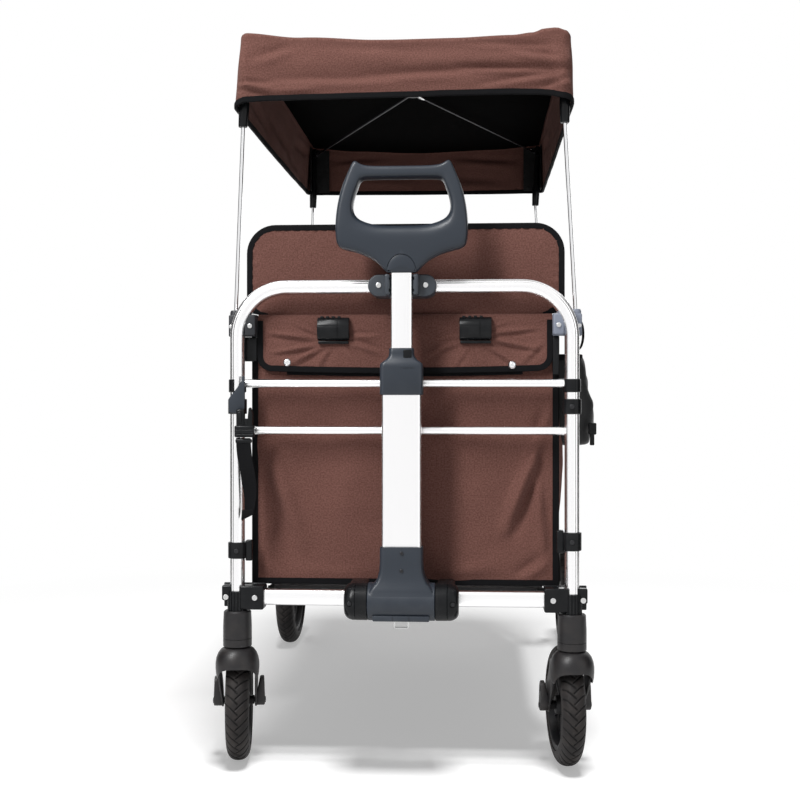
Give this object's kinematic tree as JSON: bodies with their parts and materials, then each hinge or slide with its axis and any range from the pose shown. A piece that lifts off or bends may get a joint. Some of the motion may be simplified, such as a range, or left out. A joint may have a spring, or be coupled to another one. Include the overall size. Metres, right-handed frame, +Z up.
{
  "type": "hand-pulled wagon",
  "caption": "Folding wagon for children or cargo: tube hoops at both ends, fabric tub, canopy on thin poles, front castors, larger fixed rear wheels and a telescopic pull handle with a grip.",
  "frame": {"origin": "on the ground, under the middle of the wagon's bounding box", "axes": "+Z up, +Y from the pull handle towards the rear wheels, +X to the right seen from the front"},
  "size_m": [0.686, 1.1475, 1.11],
  "materials": {
    "aluminium": "satin silver anodised tube",
    "steel": "bright plated steel",
    "charcoal_plastic": "fine satin grain, blue-grey black",
    "grey_plastic": "satin mid grey",
    "black_fabric": "black woven polyester and webbing",
    "brown_fabric": "dark brown woven polyester, black bindings",
    "wheel_plastic": "black moulded wheel",
    "tyre": "dark foam rubber, fine tread grooves"
  },
  "bodies": {
    "front_frame": {"front_hoop": "aluminium", "front_upper_cross_tube": "aluminium", "front_lower_cross_tube": "aluminium", "front_bottom_rail": "aluminium", "front_rim_rod": "steel", "handle_clip": "charcoal_plastic", "handle_pivot_bracket": "charcoal_plastic", "front_panel": "brown_fabric", "front_tall_panel": "brown_fabric", "fold_strap": "black_fabric", "side_pouch": "black_fabric", "canopy_cross_frame": "steel", "canopy_fabric": "brown_fabric", "front_corner_bracket_left": "charcoal_plastic", "front_leg_joint_left": "charcoal_plastic", "front_lower_collar_left": "charcoal_plastic", "front_rim_bracket_left": "grey_plastic", "canopy_pole_front_left": "steel", "side_panel_left": "brown_fabric", "front_corner_bracket_right": "charcoal_plastic", "front_leg_joint_right": "charcoal_plastic", "front_lower_collar_right": "charcoal_plastic", "front_rim_bracket_right": "grey_plastic", "canopy_pole_front_right": "steel", "side_panel_right": "brown_fabric"},
    "handle": {"handle_base": "charcoal_plastic", "handle_outer_tube": "aluminium", "handle_lock_collar": "charcoal_plastic"},
    "handle_slide": {"handle_inner_tube": "aluminium", "handle_grip": "charcoal_plastic"},
    "release_button": {"release_button": "grey_plastic"},
    "floor_front": {"floor_front": "black_fabric"},
    "floor_rear": {"floor_rear": "black_fabric"},
    "rear_frame": {"rear_hoop": "aluminium", "rear_upper_cross_tube": "aluminium", "rear_bottom_rail": "aluminium", "rear_rim_rod": "steel", "rear_panel": "brown_fabric", "rear_wheel_bracket_left": "charcoal_plastic", "rear_rim_bracket_left": "grey_plastic", "canopy_pole_rear_left": "steel", "rear_wheel_bracket_right": "charcoal_plastic", "rear_rim_bracket_right": "grey_plastic", "canopy_pole_rear_right": "steel"},
    "castor_left": {"castor_fork_left": "charcoal_plastic", "castor_axle_left": "steel"},
    "front_wheel_left": {"front_wheel_left": "wheel_plastic", "front_tyre_left": "tyre"},
    "rear_wheel_left": {"rear_wheel_left": "wheel_plastic", "rear_tyre_left": "tyre"},
    "rail_front_left": {"side_rail_front_left": "aluminium"},
    "rail_rear_left": {"side_rail_rear_left": "aluminium"},
    "castor_right": {"castor_fork_right": "charcoal_plastic", "castor_axle_right": "steel"},
    "front_wheel_right": {"front_wheel_right": "wheel_plastic", "front_tyre_right": "tyre"},
    "rear_wheel_right": {"rear_wheel_right": "wheel_plastic", "rear_tyre_right": "tyre"},
    "rail_front_right": {"side_rail_front_right": "aluminium"},
    "rail_rear_right": {"side_rail_rear_right": "aluminium"}
  },
  "joints": [
    {"name": "handle_pitch", "type": "hinge", "parent": "front_frame", "child": "handle", "pos_m": [0, -0.54625, 0.2605], "axis": [1, 0, 0], "range_deg": [0, 105]},
    {"name": "handle_extend", "type": "slide", "parent": "handle", "child": "handle_slide", "axis": [0, 0, 1], "range_m": [0, 0.18]},
    {"name": "release_button_press", "type": "slide", "parent": "handle_slide", "child": "release_button", "axis": [0, 1, 0], "range_m": [0, 0.002], "stiffness_N_per_m": 1500},
    {"name": "fold", "type": "hinge", "parent": "front_frame", "child": "floor_front", "pos_m": [0, -0.46625, 0.262], "axis": [1, 0, 0], "range_deg": [0, 72], "deforming": ["side_panel_left", "side_panel_right", "canopy_cross_frame"]},
    {"name": "floor_middle", "type": "hinge", "parent": "floor_front", "child": "floor_rear", "pos_m": [0, -0.07625, 0.252], "axis": [1, 0, 0], "range_deg": [-144, 0]},
    {"name": "rear_frame_fold", "type": "hinge", "parent": "floor_rear", "child": "rear_frame", "pos_m": [0, 0.31375, 0.262], "axis": [1, 0, 0], "range_deg": [0, 72]},
    {"name": "castor_swivel_left", "type": "hinge", "parent": "front_frame", "child": "castor_left", "pos_m": [-0.25, -0.50625, 0.2], "axis": [0, 0, 1], "continuous": true},
    {"name": "front_wheel_spin_left", "type": "hinge", "parent": "castor_left", "child": "front_wheel_left", "pos_m": [-0.25765, -0.45179, 0.09], "axis": [0.9903, 0.1392, 0], "continuous": true},
    {"name": "rear_wheel_spin_left", "type": "hinge", "parent": "rear_frame", "child": "rear_wheel_left", "pos_m": [-0.314, 0.44875, 0.125], "axis": [1, 0, 0], "continuous": true},
    {"name": "rail_front_left", "type": "hinge", "parent": "front_frame", "child": "rail_front_left", "pos_m": [-0.2215, -0.46625, 0.667], "axis": [1, 0, 0], "range_deg": [-72, 0]},
    {"name": "rail_middle_left", "type": "hinge", "parent": "rail_front_left", "child": "rail_rear_left", "pos_m": [-0.2215, -0.07625, 0.677], "axis": [1, 0, 0], "range_deg": [0, 144]},
    {"name": "castor_swivel_right", "type": "hinge", "parent": "front_frame", "child": "castor_right", "pos_m": [0.25, -0.50625, 0.2], "axis": [0, 0, 1], "continuous": true},
    {"name": "front_wheel_spin_right", "type": "hinge", "parent": "castor_right", "child": "front_wheel_right", "pos_m": [0.24377, -0.4516, 0.09], "axis": [0.9936, 0.1132, 0], "continuous": true},
    {"name": "rear_wheel_spin_right", "type": "hinge", "parent": "rear_frame", "child": "rear_wheel_right", "pos_m": [0.314, 0.44875, 0.125], "axis": [1, 0, 0], "continuous": true},
    {"name": "rail_front_right", "type": "hinge", "parent": "front_frame", "child": "rail_front_right", "pos_m": [0.2215, -0.46625, 0.667], "axis": [1, 0, 0], "range_deg": [-72, 0]},
    {"name": "rail_middle_right", "type": "hinge", "parent": "rail_front_right", "child": "rail_rear_right", "pos_m": [0.2215, -0.07625, 0.677], "axis": [1, 0, 0], "range_deg": [0, 144]}
  ],
  "couplings": [
    {"joint": "floor_middle", "follows": "fold", "ratio": -2},
    {"joint": "rear_frame_fold", "follows": "fold", "ratio": 1},
    {"joint": "rail_front_left", "follows": "fold", "ratio": -1},
    {"joint": "rail_middle_left", "follows": "fold", "ratio": 2},
    {"joint": "rail_front_right", "follows": "fold", "ratio": -1},
    {"joint": "rail_middle_right", "follows": "fold", "ratio": 2}
  ]
}
